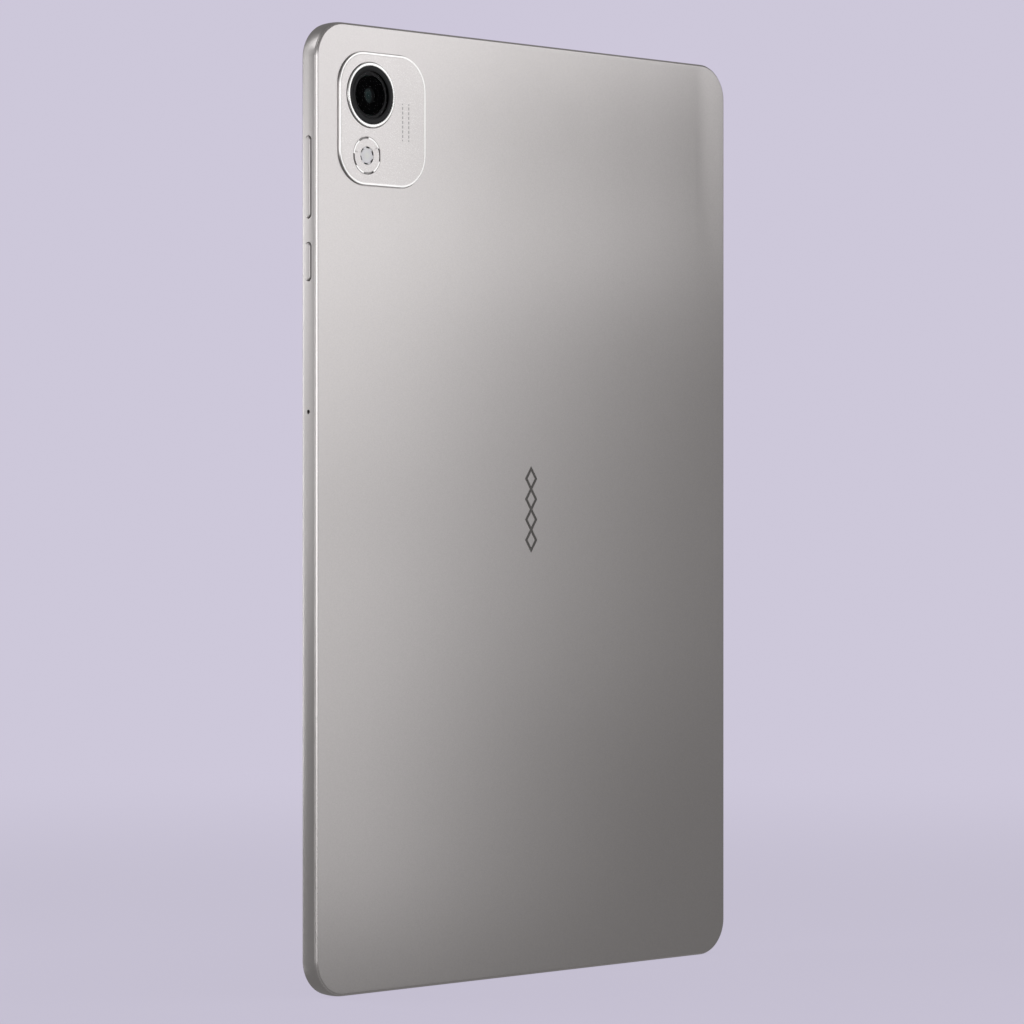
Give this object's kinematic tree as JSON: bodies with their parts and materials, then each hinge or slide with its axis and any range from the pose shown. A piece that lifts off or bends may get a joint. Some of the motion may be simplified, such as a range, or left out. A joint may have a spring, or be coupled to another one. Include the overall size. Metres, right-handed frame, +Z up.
{
  "type": "tablet computer",
  "caption": "Slim metal-backed tablet computer with a raised rear camera island, glass front, rocking volume key, power key and a USB-C socket.",
  "frame": {"origin": "centre of the bottom short edge: the middle of the overall box in X and Y, at its lowest point", "axes": "+Z up the long edge, +Y out of the metal back, so the screen faces -Y, and +X towards the edge with the side keys"},
  "size_m": [0.1676, 0.0078, 0.267],
  "materials": {
    "anodised_aluminium": "bead-blasted and anodised, satin, warm grey",
    "frosted_aluminium": "fine frosted, sparkling, with a polished lip",
    "polished_steel": "polished",
    "dark_polished_inlay": "polished dark inlay",
    "black_anodised": "gloss black anodised",
    "lens_glass": "coated optical glass",
    "clear_plastic": "clear moulded lens",
    "led_phosphor": "yellow phosphor under silicone",
    "cover_glass": "polished glass over a black print and a dark display",
    "display_panel": "dark display glass",
    "white_plastic": "white light-guide stack",
    "black_plastic": "fine matt black moulding",
    "speaker_mesh": "black woven dust mesh",
    "magnesium": "cast magnesium alloy, grey conversion coat",
    "circuit_board": "green solder mask",
    "bright_steel": "pressed steel, satin",
    "flex_film": "amber polyimide film",
    "battery_foil": "black-coated aluminium pouch foil",
    "graphite": "graphite heat-spreading sheet"
  },
  "bodies": {
    "chassis": {"antenna_lead": "black_plastic", "back_mark": "dark_polished_inlay", "backlight_unit": "white_plastic", "battery_board": "circuit_board", "battery_cell_left": "battery_foil", "battery_cell_right": "battery_foil", "battery_flex": "flex_film", "bottom_microphone": "bright_steel", "camera_housing": "black_plastic", "camera_island": "frosted_aluminium", "camera_sensor_board": "circuit_board", "cover_glass": "cover_glass", "display_flex": "flex_film", "display_frame": "magnesium", "display_gasket": "black_plastic", "flash_bezel": "frosted_aluminium", "flash_board": "circuit_board", "flash_led": "led_phosphor", "flash_lens": "clear_plastic", "front_camera": "black_plastic", "graphite_sheet": "graphite", "lcd_panel": "display_panel", "lens_bezel_ring": "black_anodised", "lens_shroud": "black_anodised", "lens_trim_ring": "polished_steel", "lens_window": "lens_glass", "main_board": "circuit_board", "main_board_screw_1": "bright_steel", "main_board_screw_2": "bright_steel", "main_board_screw_3": "bright_steel", "main_board_screw_4": "bright_steel", "main_flex": "flex_film", "power_switch": "bright_steel", "processor_shield": "bright_steel", "radio_shield": "bright_steel", "rear_cover": "anodised_aluminium", "side_key_bracket": "bright_steel", "side_key_flex": "flex_film", "side_microphone": "bright_steel", "speaker_bottom_left": "black_plastic", "speaker_bottom_right": "black_plastic", "speaker_mesh_bottom_left": "speaker_mesh", "speaker_mesh_bottom_right": "speaker_mesh", "speaker_mesh_top_left": "speaker_mesh", "speaker_mesh_top_right": "speaker_mesh", "speaker_top_left": "black_plastic", "speaker_top_right": "black_plastic", "usb_board": "circuit_board", "usb_board_screw_1": "bright_steel", "usb_board_screw_2": "bright_steel", "usb_c_shell": "bright_steel", "usb_c_tongue": "black_plastic", "volume_down_switch": "bright_steel", "volume_up_switch": "bright_steel", "wifi_antenna": "flex_film"},
    "volume_rocker": {"volume_key": "anodised_aluminium"},
    "power_button": {"power_key": "anodised_aluminium"},
    "autofocus_barrel": {"lens_barrel": "black_anodised", "lens_element": "lens_glass"}
  },
  "joints": [
    {"name": "volume_rock", "type": "hinge", "parent": "chassis", "child": "volume_rocker", "pos_m": [0.08049, 0.00001, 0.224], "axis": [0, 1, 0], "range_deg": [-1.2, 1.2], "stiffness_Nm_per_rad": 0.7},
    {"name": "power_press", "type": "slide", "parent": "chassis", "child": "power_button", "axis": [-1, 0, 0], "range_m": [0, 0.00025], "stiffness_N_per_m": 1500},
    {"name": "autofocus_travel", "type": "slide", "parent": "chassis", "child": "autofocus_barrel", "axis": [0, 1, 0], "range_m": [0, 0.00025], "stiffness_N_per_m": 200}
  ]
}
